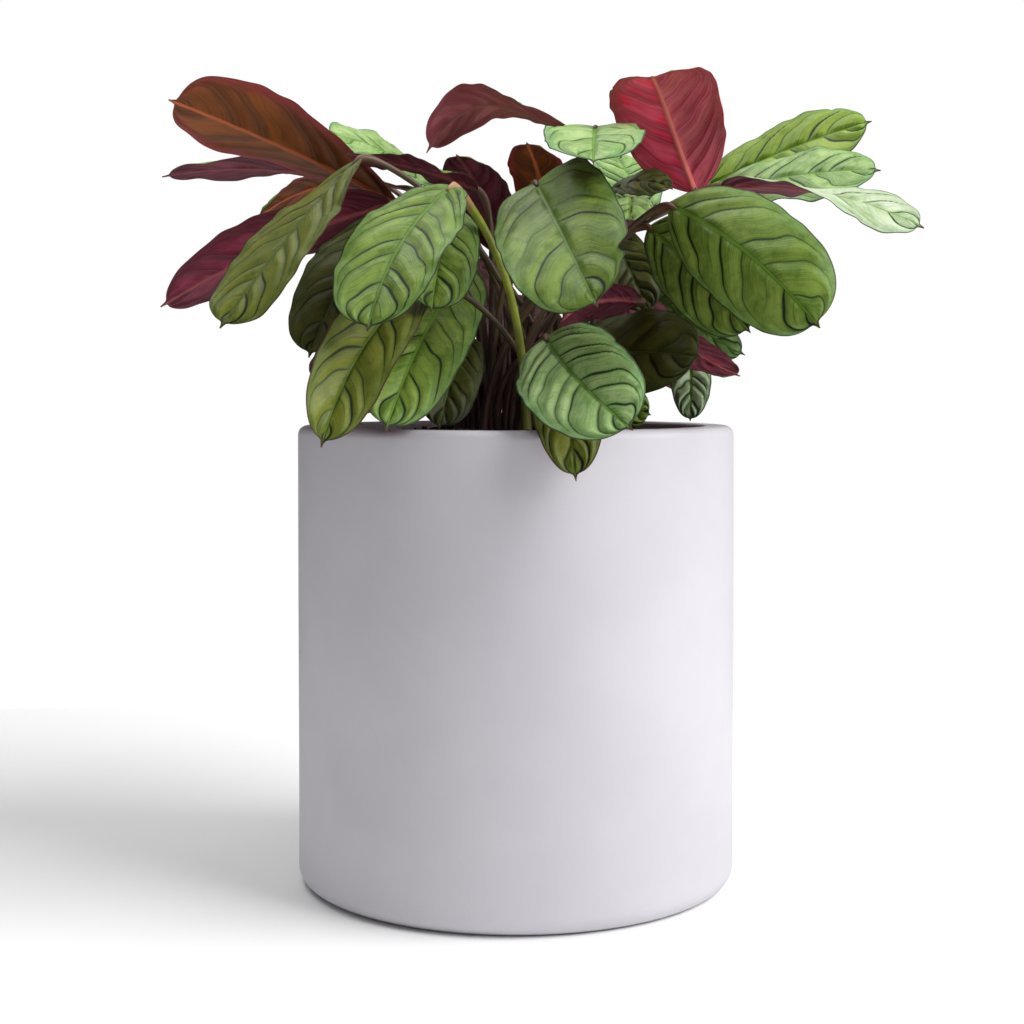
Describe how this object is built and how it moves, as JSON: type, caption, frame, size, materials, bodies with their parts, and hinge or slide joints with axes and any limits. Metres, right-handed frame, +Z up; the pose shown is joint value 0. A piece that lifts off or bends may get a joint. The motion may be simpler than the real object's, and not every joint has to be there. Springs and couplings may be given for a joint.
{
  "type": "potted plant",
  "caption": "Bushy prayer plant with striped oval leaves on thin stems, some showing red undersides, in a plain straight white round pot filled with soil.",
  "frame": {"origin": "middle of the pot's foot, on the floor", "axes": "+Z up, +X to the viewer's right, +Y away from the viewer; one unit is a metre"},
  "size_m": [0.3463, 0.2807, 0.3722],
  "materials": {
    "pot": "matte white",
    "soil": "rough crumbly dark brown",
    "leaf_silver": "satin silvery green with dark veins, purple-red below",
    "leaf_lime": "satin lime green with dark veins, purple-red below",
    "leaf_dark": "satin deep green with darker veins, purple-red below",
    "leaf_maroon": "satin purple-red underside, green above"
  },
  "bodies": {
    "root": {"pot": "pot", "soil": "soil", "left_01": "leaf_maroon", "left_02": "leaf_maroon", "left_03": "leaf_silver", "left_04": "leaf_silver", "left_05": "leaf_maroon", "left_06": "leaf_maroon", "left_07": "leaf_maroon", "left_08": "leaf_dark", "front_01": "leaf_silver", "front_02": "leaf_silver", "front_03": "leaf_silver", "front_04": "leaf_silver", "front_05": "leaf_silver", "front_06": "leaf_dark", "front_07": "leaf_dark", "front_08": "leaf_silver", "front_09": "leaf_silver", "front_10": "leaf_maroon", "top_01": "leaf_silver", "top_02": "leaf_maroon", "top_03": "leaf_maroon", "top_04": "leaf_maroon", "right_01": "leaf_maroon", "right_02": "leaf_silver", "right_03": "leaf_silver", "right_04": "leaf_lime", "right_05": "leaf_silver", "right_06": "leaf_silver", "right_07": "leaf_silver", "right_08": "leaf_silver", "right_09": "leaf_dark", "right_10": "leaf_silver", "right_11": "leaf_maroon", "right_12": "leaf_silver", "right_13": "leaf_dark", "right_14": "leaf_lime", "right_15": "leaf_dark", "inner_01": "leaf_maroon", "back_01": "leaf_silver", "back_02": "leaf_silver", "back_03": "leaf_silver", "back_04": "leaf_lime", "back_05": "leaf_silver", "back_06": "leaf_dark", "back_07": "leaf_silver", "back_08": "leaf_dark", "back_09": "leaf_dark", "back_10": "leaf_dark", "back_11": "leaf_dark"}
  },
  "joints": []
}
